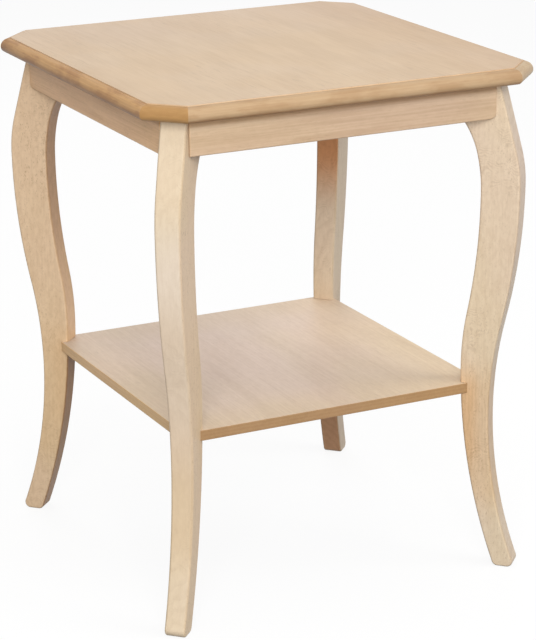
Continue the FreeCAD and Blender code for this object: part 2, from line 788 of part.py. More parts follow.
def make_top_screws():
    screws = []
    for corner, angle in CORNERS.items():
        for hand, sign in HANDS.items():
            aside = f"{sign} * Places.top_screw_aside"
            place = at_corner(angle, "Places.block_middle", aside, "Places.top_seat_rise")
            screws.append(turned(f"top_screw_{corner}_{hand}",
                                 screw_profile("Places.top_screw_long"), place, STRAIGHT))
    return group("top_screws", screws)


def make_shelf_dowels():
    full = "Sizes.dowel_dia / 2"
    small = f"{full} - Sizes.dowel_chamfer"
    profile = [
        (small, "0"),
        (full, "Sizes.dowel_chamfer"),
        (full, "Sizes.dowel_long - Sizes.dowel_chamfer"),
        (small, "Sizes.dowel_long"),
    ]
    reach = "Places.shelf_reach - Sizes.dowel_long / 2"
    return group("shelf_dowels", [
        turned(f"shelf_dowel_{corner}", profile,
               at_corner(angle, reach, "0", "Places.shelf_middle"), outward(angle))
        for corner, angle in CORNERS.items()
    ])


# ---------------------------------------------------------------- the table

# the rounded apron ends lie at the front right and the back left corner of the table
ROUNDED_END = dict(front=1, right=-1, back=1, left=-1)

nodes = [make_tabletop(), make_shelf()]
nodes += [make_leg(corner, angle) for corner, angle in CORNERS.items()]
nodes += [make_apron(side, angle, ROUNDED_END[side]) for side, angle in SIDES.items()]
nodes += [make_corner_block(corner, angle) for corner, angle in CORNERS.items()]
nodes += [make_leg_bolts(), make_leg_washers(), make_leg_nuts()]
nodes += [make_block_screws(), make_top_screws(), make_shelf_dowels()]
doc.recompute()

# ---------------------------------------------------------------- checks and files

for thing in doc.Objects:
    if {"Invalid", "Error"} & set(thing.State):
        raise RuntimeError(f"{thing.Label} did not recompute: {thing.State}")
for node in nodes:
    if node.Shape.isNull() or not node.Shape.isValid() or not node.Shape.Solids:
        raise RuntimeError(f"{node.Label} has no valid solid")

os.makedirs("parts", exist_ok=True)
for node in nodes:
    node.Shape.exportStep(os.path.join("parts", node.Label + ".step"))
    print(f"{node.Label}: {len(node.Shape.Solids)} solids, {node.Shape.Volume / 1000:.1f} cm3")
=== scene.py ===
import math

import bpy
from mathutils import Matrix, Vector


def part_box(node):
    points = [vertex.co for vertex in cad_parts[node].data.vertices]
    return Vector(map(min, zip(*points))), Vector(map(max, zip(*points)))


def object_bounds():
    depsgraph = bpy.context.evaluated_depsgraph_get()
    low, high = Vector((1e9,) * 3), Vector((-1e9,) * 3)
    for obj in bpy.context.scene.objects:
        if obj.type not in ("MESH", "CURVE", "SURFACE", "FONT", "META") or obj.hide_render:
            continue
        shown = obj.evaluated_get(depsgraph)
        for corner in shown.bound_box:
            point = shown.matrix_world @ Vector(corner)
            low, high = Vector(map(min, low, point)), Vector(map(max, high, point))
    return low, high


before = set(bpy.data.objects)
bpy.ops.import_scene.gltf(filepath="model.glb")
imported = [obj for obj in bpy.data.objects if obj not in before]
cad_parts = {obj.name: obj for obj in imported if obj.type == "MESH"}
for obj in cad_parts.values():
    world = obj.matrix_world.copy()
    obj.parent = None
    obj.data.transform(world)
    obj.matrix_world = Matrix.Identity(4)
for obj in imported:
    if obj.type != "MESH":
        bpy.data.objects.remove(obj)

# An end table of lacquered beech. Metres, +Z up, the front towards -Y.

cad_low, cad_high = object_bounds()

# where each leg stands, in degrees round from +X, and which way each apron faces, round from -Y
CORNERS = {"front_left": 225, "front_right": 315, "back_right": 45, "back_left": 135}
SIDES = {"front": 0, "right": 90, "back": 180, "left": 270}
RIGHT = Vector((1, 0, 0))
BACK = Vector((0, 1, 0))
UP = Vector((0, 0, 1))


# ---------------------------------------------------------------- shader building

class Finish:
    """A material under construction. Most methods add a node and return its output."""

    def __init__(self, name):
        self.material = bpy.data.materials.new(name)
        self.material.use_nodes = True
        self.nodes = self.material.node_tree.nodes
        self.links = self.material.node_tree.links
        self.nodes.clear()

    def feed(self, socket, value):
        """Links an output to a socket, or sets a constant on it."""
        if isinstance(value, bpy.types.NodeSocket):
            self.links.new(value, socket)
        else:
            socket.default_value = value

    def add(self, kind, *values, named=None, **settings):
        """Adds a node. The values go to its first sockets, and the named ones to the sockets so named."""
        node = self.nodes.new("ShaderNode" + kind)
        for setting, value in settings.items():
            setattr(node, setting, value)
        for socket, value in zip(node.inputs, values):
            self.feed(socket, value)
        for name, value in (named or {}).items():
            self.feed(node.inputs[name], value)
        return node

    def work(self, operation, *values, clamp=False):
        """Arithmetic on numbers and outputs."""
        return self.add("Math", *values, operation=operation, use_clamp=clamp).outputs[0]

    def sum(self, first, second, clamp=False):
        return self.work("ADD", first, second, clamp=clamp)

    def minus(self, value, less):
        return self.work("SUBTRACT", value, less)

    def times(self, first, second):
        return self.work("MULTIPLY", first, second)

    def size(self, value):
        """A value without its sign."""
        return self.work("ABSOLUTE", value)

    def part(self, value):
        """What a value has after its decimal point."""
        return self.work("FRACT", value)

    def larger(self, first, second):
        return self.work("MAXIMUM", first, second)

    def smaller(self, first, second):
        return self.work("MINIMUM", first, second)

    def over(self, value, limit):
        """1 where a value is over a limit, 0 elsewhere."""
        return self.work("GREATER_THAN", value, limit)

    def under(self, value, limit):
        """1 where a value is under a limit, 0 elsewhere."""
        return self.work("LESS_THAN", value, limit)

    def between(self, value, low, high, out_low=0.0, out_high=1.0):
        """A smooth step: out_low up to low, out_high from high on."""
        node = self.add("MapRange", named={"Value": value, "From Min": low, "From Max": high,
                                           "To Min": out_low, "To Max": out_high},
                        interpolation_type="SMOOTHSTEP")
        return node.outputs[0]

    def fall(self, value, low, high):
        """A smooth step down: 1 up to low, 0 from high on."""
        return self.between(value, low, high, 1.0, 0.0)

    def dot(self, vector, direction):
        node = self.add("VectorMath", vector, tuple(direction), operation="DOT_PRODUCT")
        return node.outputs["Value"]

    def along(self, direction):
        """How far a point of the piece lies along a direction."""
        if not hasattr(self, "place"):
            self.place = self.add("TexCoord").outputs["Object"]
        return self.dot(self.place, direction)

    def facing(self, direction):
        """How squarely the surface faces a direction: 1 when it does, -1 when it looks away."""
        if not hasattr(self, "outlook"):
            self.outlook = self.add("TexCoord").outputs["Normal"]
        return self.dot(self.outlook, direction)

    def point(self, x, y, z):
        return self.add("CombineXYZ", x, y, z).outputs[0]

    def noise(self, where, scale, detail=2.0, roughness=0.5):
        node = self.add("TexNoise", named={"Vector": where, "Scale": scale, "Detail": detail,
                                           "Roughness": roughness})
        return node.outputs["Fac"]

    def mix(self, share, first, second, blend="MIX"):
        node = self.add("Mix", data_type="RGBA", blend_type=blend)
        # a colour mix has its share at socket 0, its colours at 6 and 7 and its result at output 2
        self.feed(node.inputs[0], share)
        self.feed(node.inputs[6], first)
        self.feed(node.inputs[7], second)
        return node.outputs[2]

    def shade(self, colour, roughness, relief, depth, constants):
        """The surface shader, with a relief that is so many metres deep.

        The constants are named as the shader's sockets are, and are set on them.
        """
        surface = self.add("BsdfPrincipled", named={"Base Color": colour, "Roughness": roughness,
                                                    **constants})
        bump = self.add("Bump", named={"Height": relief, "Distance": depth, "Strength": 1.0})
        self.feed(surface.inputs["Normal"], bump.outputs[0])
        output = self.add("OutputMaterial")
        self.feed(output.inputs["Surface"], surface.outputs[0])
        return self.material


# ---------------------------------------------------------------- beech

# the sheen of all the wood, which is rougher where it is bare
WOOD_SHEEN = {"Specular IOR Level": 0.3, "Coat Weight": 0.05, "Coat Roughness": 0.3}
LACQUER_ROUGHNESS = 0.45
BARE_WOOD_ROUGHNESS = 0.6

# the level of noise at which a fleck begins and at which it is full, and how far apart the curls are
FLECK_START = 0.60
FLECK_FULL = 0.68
CURL_SPACING = 0.0042

# How each kind of piece was cut: how far apart its rings are, where the middle of the tree lay, how
# much it leaned against the piece, and how far the rings waver and curl.
SHELF_RINGS = dict(spacing=0.014, pith_aside=-0.07, pith_deep=-0.05, lean=0.04, waver=0.03, curl=0.0)
LEG_RINGS = dict(spacing=0.0042, pith_aside=0.004, pith_deep=0.062, lean=0.035, waver=0.012, curl=0.009)
APRON_RINGS = dict(spacing=0.006, pith_aside=0.5, pith_deep=0.02, lean=0.01, waver=0.02, curl=0.002)
BLOCK_RINGS = dict(spacing=0.005, pith_aside=0.02, pith_deep=-0.05, lean=0.02, waver=0.02, curl=0.002)
DOWEL_RINGS = dict(spacing=0.003, pith_aside=0.0, pith_deep=-0.02, lean=0.02, waver=0.01, curl=0.001)

# colours of lacquered beech, as linear light
LEG_TINTS = {
    "front_left": (0.68, 0.525, 0.375),
    "front_right": (0.738, 0.593, 0.445),
    "back_right": (0.60, 0.482, 0.36),
    "back_left": (0.732, 0.54, 0.36),
}
# what the narrow outer faces' colour is multiplied by; at the front left this is partly painted light and
# shade along the leg
OUTER_FACES = {
    "front_left": (1.15, 1.265, 1.43, 1),
    "front_right": (0.84, 0.83, 0.86, 1),
    "back_right": (0.95, 0.95, 0.95, 1),
    "back_left": (0.95, 0.95, 0.95, 1),
}
# the painted shade on the inner faces up under the aprons: where it begins, where it is full, and what it
# multiplies the colour by
UPPER_PAINTED_SHADES = {
    "front_left": (0.38, 0.47, (0.95, 0.72, 0.52, 1)),
    "front_right": (0.38, 0.47, (0.95, 0.72, 0.52, 1)),
    "back_right": (0.335, 0.42, (0.94, 0.57, 0.35, 1)),
    "back_left": (0.10, 0.50, (0.74, 0.62, 0.52, 1)),
}
# what the inner faces' colour is multiplied by under the shelf, as painted shade, and between which
# heights that fades out
UNDER_SHELF = (0.20, 0.215)
LOWER_PAINTED_SHADES = {
    "front_left": (0.80, 0.62, 0.48, 1),
    "front_right": (0.80, 0.62, 0.48, 1),
    "back_right": (1.04, 0.72, 0.545, 1),
    "back_left": (0.64, 0.48, 0.36, 1),
}
# how strong the rings, the mottling, the flecks of the wide and of the narrow faces and the curls are
LEG_FIGURES = {
    "front_left": (0.18, 0.18, 0.50, 0.08, 0.12),
    "front_right": (0.30, 0.35, 0.42, 0.25, 0.33),
    "back_right": (0.25, 0.25, 0.35, 0.15, 0.3),
    "back_left": (0.20, 0.40, 0.58, 0.25, 0.25),
}
# how much of the yellower stretch below the shelf each leg has
YELLOW_SHARES = {"front_left": 0.15, "front_right": 1.0, "back_right": 0.2, "back_left": 0.45}
# how much of the redder heartwood beside the shelf each leg has
ORANGE_SHARES = {"front_left": 0.25, "front_right": 0.9, "back_right": 0.25, "back_left": 0.25}
# how strongly painted light brightens the upper part of each apron against the shadow of the top, and
# between which heights that sets in
PAINTED_LIGHT_REACH = (0.557, 0.570)
PAINTED_LIGHT_TOPS = {"front": 0.95, "right": 0.95, "back": 0.95, "left": 0.3}
APRON_TINTS = {
    "front": (0.599, 0.435, 0.302),
    "right": (0.61, 0.43, 0.28),
    "back": (0.60, 0.43, 0.28),
    "left": (0.775, 0.489, 0.276),
}
TOP_TINT = (0.62, 0.454, 0.295)
SHELF_TINT = (0.726, 0.58, 0.48)
FRONT_LIPPING = (0.451, 0.303, 0.173)
SIDE_LIPPING = (0.485, 0.26, 0.095)
END_GRAIN = (0.45, 0.258, 0.10)
# the paler end grain is painted light and sheen on the right clipped corners
SHEEN_PAINTED_END_GRAIN = (0.52, 0.39, 0.24)
BLOCK_TINT = (0.62, 0.46, 0.31)
# what the shelf's colour is multiplied by at its front and back edges and at its side edges
DARK_EDGE = (0.533, 0.408, 0.281, 1)
WARM_EDGE = (1.01, 0.845, 0.578, 1)
# what an apron's colour is multiplied by in the painted brown shadow line under the top, and where that
# sets in
BROWN_PAINTED_SHADOW = (0.66, 0.54, 0.42, 1)
UNDER_TOP = (0.569, 0.575)


def toned(colour, brightness, warmth=0.0):
    """A colour made brighter or darker. Warmth takes some of its green and more of its blue."""
    red, green, blue = (channel * brightness for channel in colour)
    return (red, green * (1 - warmth), blue * (1 - 2 * warmth), 1)


# how far apart the boards lie in the one tree that they are all cut from
SEED_STEP = Vector((0.731, 0.417, 0.593))


class Board(Finish):
    """A finish that follows one board: its grain, its width and its thickness."""

    def __init__(self, name, grain, face, seed):
        super().__init__(name)
        self.shift = SEED_STEP * seed
        self.grain = self.sum(self.along(grain), self.shift.x)
        self.width = self.along(face.cross(grain))
        self.depth = self.along(face)

    def stretched(self, scale, stretch, detail=2.0, roughness=0.5):
        """Noise that is drawn out along the grain."""
        where = self.point(self.sum(self.width, self.shift.y), self.sum(self.depth, self.shift.z),
                           self.times(self.grain, 1.0 / stretch))
        return self.noise(where, scale, detail, roughness)

    def rings(self, spacing, pith_aside, pith_deep, lean, waver, curl):
        """Growth rings about a pith that leans against the board, wavering and curling as they go."""
        slow = self.sum(self.stretched(9.0, 4.0), -0.5)
        quick = self.sum(self.stretched(48.0, 1.8), -0.5)
        aside = self.sum(self.width, -pith_aside)
        deep = self.sum(self.sum(self.depth, -pith_deep), self.times(self.grain, lean))
        squares = self.sum(self.times(aside, aside), self.times(deep, deep))
        radius = self.work("POWER", squares, 0.5)
        radius = self.sum(self.sum(radius, self.times(slow, waver)), self.times(quick, curl))
        phase = self.part(self.times(radius, 1.0 / spacing))
        rise = self.between(phase, 0.25, 0.90)
        fall = self.fall(phase, 0.90, 1.0)
        return self.times(rise, fall)

    def curls(self, spacing, crowding):
        """Wavy lines across the board, in patches, where the rings run out at the surface."""
        waver = self.times(self.sum(self.stretched(55.0, 1.2), -0.5), 0.035)
        phase = self.part(self.times(self.sum(self.grain, waver), 1.0 / spacing))
        line = self.times(self.between(phase, 0.0, 0.45), self.fall(phase, 0.45, 0.75))
        broken = self.between(self.stretched(110.0, 1.0), 0.42, 0.62)
        patch = self.between(self.sum(self.stretched(17.0, 1.6, 1.0), crowding), 0.50, 0.66)
        return self.times(self.times(line, broken), patch)

    def flecks(self, across, length):
        """The short dark dashes of beech, more in some places than in others."""
        stretch = length / across
        crowding = self.between(self.stretched(0.25 / across, stretch, 1.0), 0.3, 0.7, 0.05, -0.05)
        field = self.sum(self.stretched(1.0 / across, stretch), crowding)
        return self.between(field, FLECK_START, FLECK_FULL)


def beech(name, grain, face, seed, tint, ring, figure=0.5, streak=0.3, mottle=0.2, curl=0.0,
          fleck=0.4, narrow_fleck=None, fleck_size=(0.0010, 0.0030), fleck_reach=None, curl_reach=None,
          details=(), roughness=LACQUER_ROUGHNESS):
    """A board's finish. ring says how its growth rings lie, and details tint parts of the piece.

    figure, streak, mottle, curl and fleck say how strong the rings and the other features are, and
    narrow_fleck how strong the flecks are on the narrow faces. The curls are thickest within their
    reach, and the flecks grow from faint to full through theirs.
    """
    wood = Board(name, grain, face, seed)
    patchy = wood.between(wood.stretched(13.0, 2.5), 0.42, 0.60)
    ring_mark = wood.times(wood.rings(**ring), wood.sum(wood.times(patchy, 0.75), 0.25))
    broad = wood.stretched(14.0, 5.0, 3.0)
    blotch = wood.stretched(230.0, 2.0, 2.0, 0.6)
    streaks = wood.stretched(420.0, 45.0, 3.0, 0.6)
    thick = wood.between(wood.stretched(24.0, 2.0, 1.0), 0.35, 0.65, 0.35, 1.0)
    dashes = wood.times(wood.flecks(*fleck_size), thick)
    tone = wood.sum(wood.times(ring_mark, figure), wood.times(wood.between(streaks, 0.3, 0.7), streak))
    tone = wood.sum(tone, wood.times(wood.between(broad, 0.3, 0.7), 0.3))
    tone = wood.sum(tone, wood.times(wood.between(blotch, 0.3, 0.7), mottle), clamp=True)
    colour = wood.mix(tone, toned(tint, 1.11, -0.01), toned(tint, 0.88, 0.045))
    # the heartwood's hue drifts between pinkish and yellowish
    drift = wood.between(wood.stretched(11.0, 2.5, 1.0), 0.38, 0.62)
    colour = wood.mix(drift, colour, (0.99, 1.0, 0.95, 1), "MULTIPLY")
    if curl:
        start, end = curl_reach
        crowding = wood.times(wood.between(wood.grain, start, start + 0.03),
                              wood.fall(wood.grain, end - 0.03, end))
        curls = wood.curls(CURL_SPACING, wood.times(crowding, 0.14))
        colour = wood.mix(wood.times(curls, curl), colour, toned(tint, 0.62, 0.10))
    share = fleck
    if narrow_fleck is not None:
        on_wide = wood.between(wood.size(wood.facing(face)), 0.4, 0.9)
        share = wood.between(on_wide, 0.0, 1.0, narrow_fleck, fleck)
    if fleck_reach is not None:
        share = wood.times(share, wood.between(wood.grain, *fleck_reach, 0.3, 1.0))
    colour = wood.mix(wood.times(dashes, share), colour, toned(tint, 0.55, 0.12))
    for detail in details:
        mask, shade = detail(wood)
        colour = wood.mix(mask, colour, shade, "MULTIPLY")
    rough = wood.sum(roughness, wood.times(wood.sum(streaks, -0.5), 0.16))
    relief = wood.sum(wood.times(streaks, 0.5), wood.times(dashes, -0.6))
    relief = wood.sum(relief, wood.times(ring_mark, 0.25))
    return wood.shade(colour, rough, relief, 0.00006, WOOD_SHEEN)


def dress(node, material):
    """Gives a node its finish in place of the plain one that it came with."""
    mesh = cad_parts[node].data
    mesh.materials.clear()
    mesh.materials.append(material)


# ---------------------------------------------------------------- the pieces' finishes

# how wide the moulding is up to the small step, and how much is cut off each corner of the top
MOULDING = 0.0105
CORNER_CUT = 0.038
# how far outside the step the lipping's colour begins
STEP_SLACK = 0.0002

# how far a clipped corner's flat lies inside the shelf's sharp corner, how thick a skin counts as its
# edge, and how thick its layers are
SHELF_CLIP = 0.0131
EDGE_SKIN = 0.0006
PLY = 0.0041


def finish_top():
    """A veneered face in a solid lipping that is mitred at the clipped corners."""
    low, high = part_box("tabletop")
    half = high.x
    clip_reach = (2 * half - CORNER_CUT) * math.sqrt(0.5)
    top = Board("top_beech", BACK, UP, 1)
    broad = top.stretched(22.0, 3.0, 3.0, 0.6)
    streaks = top.stretched(330.0, 22.0, 3.0, 0.6)
    patchy = top.between(top.stretched(9.0, 2.0), 0.45, 0.62)
    dashes = top.times(top.flecks(0.0014, 0.030), top.sum(top.times(patchy, 0.8), 0.2))
    tone = top.sum(top.times(top.between(streaks, 0.35, 0.7), 0.25),
                   top.times(top.between(broad, 0.33, 0.67), 0.55), clamp=True)
    veneer = top.mix(tone, toned(TOP_TINT, 1.045, -0.01), toned(TOP_TINT, 0.92, 0.015))
    drift = top.between(top.noise(top.point(top.width, top.grain, 0.5), 9.0, 1.0), 0.40, 0.60)
    veneer = top.mix(drift, veneer, (1.0, 0.985, 0.95, 1), "MULTIPLY")
    veneer = top.mix(top.times(dashes, 0.27), veneer, toned(TOP_TINT, 0.55, 0.08))
    # the veneer is a little deeper in colour towards the right, and pinker towards the back
    rightwards = top.between(top.along(RIGHT), 0.05, half)
    veneer = top.mix(rightwards, veneer, (0.93, 0.885, 0.85, 1), "MULTIPLY")
    backwards = top.between(top.along(BACK), 0.0, half)
    veneer = top.mix(backwards, veneer, (1.0, 1.01, 1.08, 1), "MULTIPLY")

    # how far a point lies inside the edge of the top, from a side and from a clipped corner
    sides = [top.size(top.along(axis)) for axis in (RIGHT, BACK)]
    from_side = top.minus(half, top.larger(*sides))
    corner = top.times(top.sum(*sides), math.sqrt(0.5))
    from_clip = top.minus(clip_reach, corner)
    inset = top.smaller(from_side, from_clip)
    on_clip = top.under(from_clip, from_side)
    on_flank = top.over(*sides)
    height = top.along(UP)

    # the lipping's grain runs along each edge
    run = top.sum(top.times(top.along(BACK), on_flank),
                  top.times(top.along(RIGHT), top.minus(1.0, on_flank)))
    fine = top.noise(top.point(inset, height, top.times(run, 1 / 30)), 420.0, 3.0, 0.6)
    blotch = top.noise(top.point(inset, height, top.times(run, 0.3)), 75.0, 3.0, 0.6)
    lip_tone = top.sum(top.times(top.between(fine, 0.3, 0.7), 0.45),
                       top.times(top.between(blotch, 0.40, 0.62), 0.55), clamp=True)
    front_lip = top.mix(lip_tone, toned(FRONT_LIPPING, 1.10, -0.03), toned(FRONT_LIPPING, 0.90, 0.04))
    side_lip = top.mix(lip_tone, toned(SIDE_LIPPING, 1.22, -0.08), toned(SIDE_LIPPING, 0.76, 0.08))
    lipping = top.mix(on_flank, front_lip, side_lip)
    # end grain shows at the clipped corners, and is paler at the right, which is painted light and sheen
    pores = top.noise(top.point(top.times(run, 0.6), top.times(height, 1.6), inset), 160.0, 3.0, 0.6)
    clip_tint = top.mix(top.between(top.along(RIGHT), 0.05, 0.2), toned(END_GRAIN, 1.0),
                        toned(SHEEN_PAINTED_END_GRAIN, 1.0))
    dark_pores = top.times(top.between(pores, 0.3, 0.7), 0.35)
    clip_wood = top.mix(dark_pores, clip_tint, toned(END_GRAIN, 0.7, 0.1))
    lipping = top.mix(on_clip, lipping, clip_wood)

    # the small step down to the moulding still belongs to the veneered face
    on_lip = top.under(inset, MOULDING - STEP_SLACK)
    colour = top.mix(on_lip, veneer, lipping)
    # the lacquer is deeper in colour on the lipping and beside it
    near_edge = top.fall(inset, MOULDING, MOULDING + 0.006)
    near_edge = top.times(near_edge, top.between(blotch, 0.3, 0.7, 0.1, 0.5))
    colour = top.mix(near_edge, colour, (0.95, 0.88, 0.80, 1), "MULTIPLY")
    # and brown underneath, painted shade where the moulding turns away from the light, higher up at the
    # side lippings than at the front and back ones
    painted_shade_under_side = top.fall(height, low.z + 0.0045, low.z + 0.011)
    painted_shade_under_side = top.times(top.times(painted_shade_under_side, on_flank), top.minus(1.0, on_clip))
    colour = top.mix(painted_shade_under_side, colour, (0.68, 0.57, 0.41, 1), "MULTIPLY")
    painted_shade_under_front = top.fall(height, low.z + 0.001, low.z + 0.0045)
    painted_shade_under_front = top.times(painted_shade_under_front, top.minus(1.0, top.larger(on_flank, on_clip)))
    colour = top.mix(painted_shade_under_front, colour, (0.82, 0.66, 0.49, 1), "MULTIPLY")
    rough = top.sum(0.42, top.times(top.sum(streaks, -0.5), 0.16))
    relief = top.sum(top.times(streaks, 0.5), top.times(dashes, -0.5))
    return top.shade(colour, rough, relief, 0.00004, WOOD_SHEEN)


def finish_shelf():
    """A veneered board with square, darker edges."""
    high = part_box("shelf")[1]

    def front_edge(wood):
        """The front and back edges and the clipped corners."""
        out = wood.size(wood.along(BACK))
        corner = wood.times(wood.sum(out, wood.size(wood.along(RIGHT))), math.sqrt(0.5))
        flat = wood.over(corner, high.x * math.sqrt(2) - SHELF_CLIP)
        return wood.larger(wood.over(out, high.y - EDGE_SKIN), flat), DARK_EDGE

    def side_edge(wood):
        out = wood.size(wood.along(RIGHT))
        return wood.over(out, high.x - EDGE_SKIN), WARM_EDGE

    def plies(wood):
        """The layers of the board, showing at its edges as thin lines."""
        edge = wood.larger(front_edge(wood)[0], side_edge(wood)[0])
        unevenness = wood.noise(wood.point(wood.width, wood.grain, 0.0), 30.0)
        waver = wood.times(wood.sum(unevenness, -0.5), 0.0012)
        layer = wood.part(wood.times(wood.sum(wood.along(UP), waver), 1.0 / PLY))
        line = wood.times(wood.between(layer, 0.0, 0.35), wood.fall(layer, 0.45, 0.8))
        return wood.times(edge, wood.times(line, 0.3)), (0.80, 0.72, 0.64, 1)

    def paler_side(wood):
        """The veneer is paler to the right."""
        return wood.between(wood.along(RIGHT), 0.0, 0.15), (1.10, 1.09, 1.04, 1)

    def deeper_back(wood):
        """It is a little deeper in colour to the back."""
        return wood.between(wood.along(BACK), 0.04, 0.18), (0.93, 0.95, 0.985, 1)

    def yellower_rim(wood):
        """It is yellower towards the edges, unevenly."""
        out = [wood.size(wood.along(axis)) for axis in (RIGHT, BACK)]
        waver = wood.times(wood.stretched(14.0, 1.5), 0.05)
        return wood.between(wood.sum(wood.larger(*out), waver), 0.12, 0.20), (1.0, 0.985, 0.90, 1)

    return beech("shelf_beech", BACK, UP, 2, SHELF_TINT, SHELF_RINGS,
                 figure=0.15, streak=0.25, mottle=0.2, fleck=0.16, fleck_size=(0.0012, 0.018),
                 details=(front_edge, side_edge, plies, paler_side, deeper_back, yellower_rim))


def diagonal(angle):
    """The level direction that lies so many degrees round from +X."""
    return Vector((math.cos(math.radians(angle)), math.sin(math.radians(angle)), 0))


def finish_leg(corner, angle, seed):
    """Solid beech with its grain upright and its wide faces along the table's diagonal."""
    outwards = diagonal(angle)
    aside = UP.cross(outwards)

    def inwards(wood):
        """The inner face."""
        return wood.fall(wood.facing(outwards), -0.9, -0.5)

    def arris(wood):
        """The rounded corners, darker: partly lacquer rubbed thin that takes up dirt, partly painted
        shade that damps their highlight.
        """
        turned = wood.size(wood.facing(aside))
        mask = wood.times(wood.between(turned, 0.12, 0.40), wood.fall(turned, 0.80, 0.97))
        uneven = wood.between(wood.stretched(60.0, 3.0), 0.3, 0.7, 0.5, 1.0)
        return wood.times(mask, uneven), (0.86, 0.84, 0.80, 1)

    def outer_face(wood):
        """The narrow outer face is cut along the rings, so it has a colour of its own.

        At the front left it is plain low down and pale higher up: painted light and shade along the leg.
        """
        out = wood.between(wood.facing(outwards), 0.5, 0.9)
        if corner != "front_left":
            return out, OUTER_FACES[corner]
        height = wood.along(UP)
        dull = wood.times(wood.between(height, 0.04, 0.12), wood.fall(height, 0.16, 0.26))
        pale = wood.times(wood.between(height, 0.34, 0.42), wood.fall(height, 0.44, 0.50))
        # painted shade low down and painted light higher up
        share = wood.sum(wood.sum(0.42, wood.times(dull, -0.42)), wood.times(pale, 0.55))
        return wood.times(out, share), OUTER_FACES[corner]

    def yellow_reach(wood):
        """A yellower stretch, mostly below the shelf."""
        height = wood.along(UP)
        reach = wood.times(wood.between(height, 0.05, 0.10), wood.fall(height, 0.21, 0.27))
        return wood.times(reach, YELLOW_SHARES[corner]), (0.955, 0.88, 0.77, 1)

    def orange_patch(wood):
        """A patch of redder heartwood beside the shelf, along the inner half of the wide faces."""
        radius = wood.along(outwards)
        height = wood.along(UP)
        reach = wood.times(wood.between(height, 0.09, 0.15), wood.fall(height, 0.21, 0.26))
        ragged = wood.sum(radius, wood.times(wood.stretched(35.0, 3.0), 0.02))
        inner_half = wood.fall(ragged, 0.264, 0.284)
        return wood.times(wood.times(reach, inner_half), ORANGE_SHARES[corner]), (1.0, 0.88, 0.74, 1)

    def upper_painted_shade(wood):
        """Painted shade on the inner face, up under the aprons."""
        shaded_reach = wood.between(wood.along(UP), *UPPER_PAINTED_SHADES[corner][:2])
        return wood.times(inwards(wood), shaded_reach), UPPER_PAINTED_SHADES[corner][2]

    def lower_painted_shade(wood):
        """Painted shade on the inner face under the shelf."""
        below = wood.fall(wood.along(UP), *UNDER_SHELF)
        return wood.times(inwards(wood), below), LOWER_PAINTED_SHADES[corner]

    figure, mottle, fleck, narrow_fleck, curl = LEG_FIGURES[corner]
    # heights on the leg, as places along the grain of this board
    start = SEED_STEP.x * seed
    knee = (start + 0.44, start + 0.56)
    above_foot = (start + 0.18, start + 0.27)
    return beech(f"leg_beech_{corner}", UP, aside, seed, LEG_TINTS[corner], LEG_RINGS,
                 figure=figure, streak=0.16, mottle=mottle, curl=curl, curl_reach=knee,
                 fleck=fleck, narrow_fleck=narrow_fleck,
                 fleck_reach=above_foot if corner == "back_left" else None,
                 details=(outer_face, yellow_reach, orange_patch, upper_painted_shade, lower_painted_shade, arris))


def finish_apron(side, angle, seed):
    """Solid beech with its grain along the apron."""
    face = Vector((math.sin(math.radians(angle)), -math.cos(math.radians(angle)), 0))
    grain = UP.cross(face)

    def painted_shadow_under_top(wood):
        """A painted brown shadow line on the apron just under the top."""
        return wood.times(wood.between(wood.along(UP), *UNDER_TOP), 0.8), BROWN_PAINTED_SHADOW

    def painted_light_top(wood):
        """Painted light: the upper part is paler, against the shadow under the top, and the left apron's
        less so than the others'.
        """
        upper = wood.between(wood.along(UP), *PAINTED_LIGHT_REACH)
        return wood.times(upper, PAINTED_LIGHT_TOPS[side]), (1.22, 1.25, 1.28, 1)

    return beech(f"apron_beech_{side}", grain, face, seed, APRON_TINTS[side], APRON_RINGS,
                 figure=0.35, streak=0.5, mottle=0.15, fleck=0.3,
                 fleck_size=(0.0008, 0.008), details=(painted_shadow_under_top, painted_light_top))


def finish_block(corner, angle, seed):
    """Bare beech with its grain across the corner."""
    outwards = diagonal(angle)
    return beech(f"block_beech_{corner}", UP.cross(outwards), outwards, seed, BLOCK_TINT, BLOCK_RINGS,
                 roughness=BARE_WOOD_ROUGHNESS)


def finish_dowels(seed):
    """Bare beech, in one colour with the corner blocks."""
    return beech("dowel_beech", RIGHT, UP, seed, BLOCK_TINT, DOWEL_RINGS, roughness=BARE_WOOD_ROUGHNESS)


def finish_steel():
    """Zinc plating: cool grey with a faint turned grain."""
    steel = Finish("zinc_steel")
    place = steel.point(steel.along(RIGHT), steel.along(BACK), steel.along(UP))
    grain = steel.noise(place, 900.0, 3.0, 0.6)
    cloud = steel.noise(place, 120.0, 3.0, 0.6)
    colour = steel.mix(steel.between(cloud, 0.3, 0.7), (0.55, 0.56, 0.57, 1), (0.70, 0.69, 0.64, 1))
    rough = steel.between(grain, 0.3, 0.7, 0.25, 0.45)
    return steel.shade(colour, rough, grain, 0.00002, {"Metallic": 1.0})


# each board has a seed of its own, which says where in the tree it comes from
dress("tabletop", finish_top())
dress("shelf", finish_shelf())
for seed, (corner, angle) in enumerate(CORNERS.items(), start=3):
    dress(f"leg_{corner}", finish_leg(corner, angle, seed))
    dress(f"corner_block_{corner}", finish_block(corner, angle, seed + 10))
for seed, (side, angle) in enumerate(SIDES.items(), start=7):
    dress(f"apron_{side}", finish_apron(side, angle, seed))
dress("shelf_dowels", finish_dowels(20))
steel = finish_steel()
for node in ("leg_bolts", "leg_washers", "leg_nuts", "block_screws", "top_screws"):
    dress(node, steel)


# ---------------------------------------------------------------- floor, light and camera

AIR_STRENGTH = 0.566
FLOOR_SIDE = 12
# the floor looks white and keeps a pale shadow, but throws little light back at the table
FLOOR_SEEN = 0.12
FLOOR_THROWN = 0.03
FLOOR_GLOW = 0.88
LAMP_DISTANCE = 3.2
LAMP_SIDE = 1.6


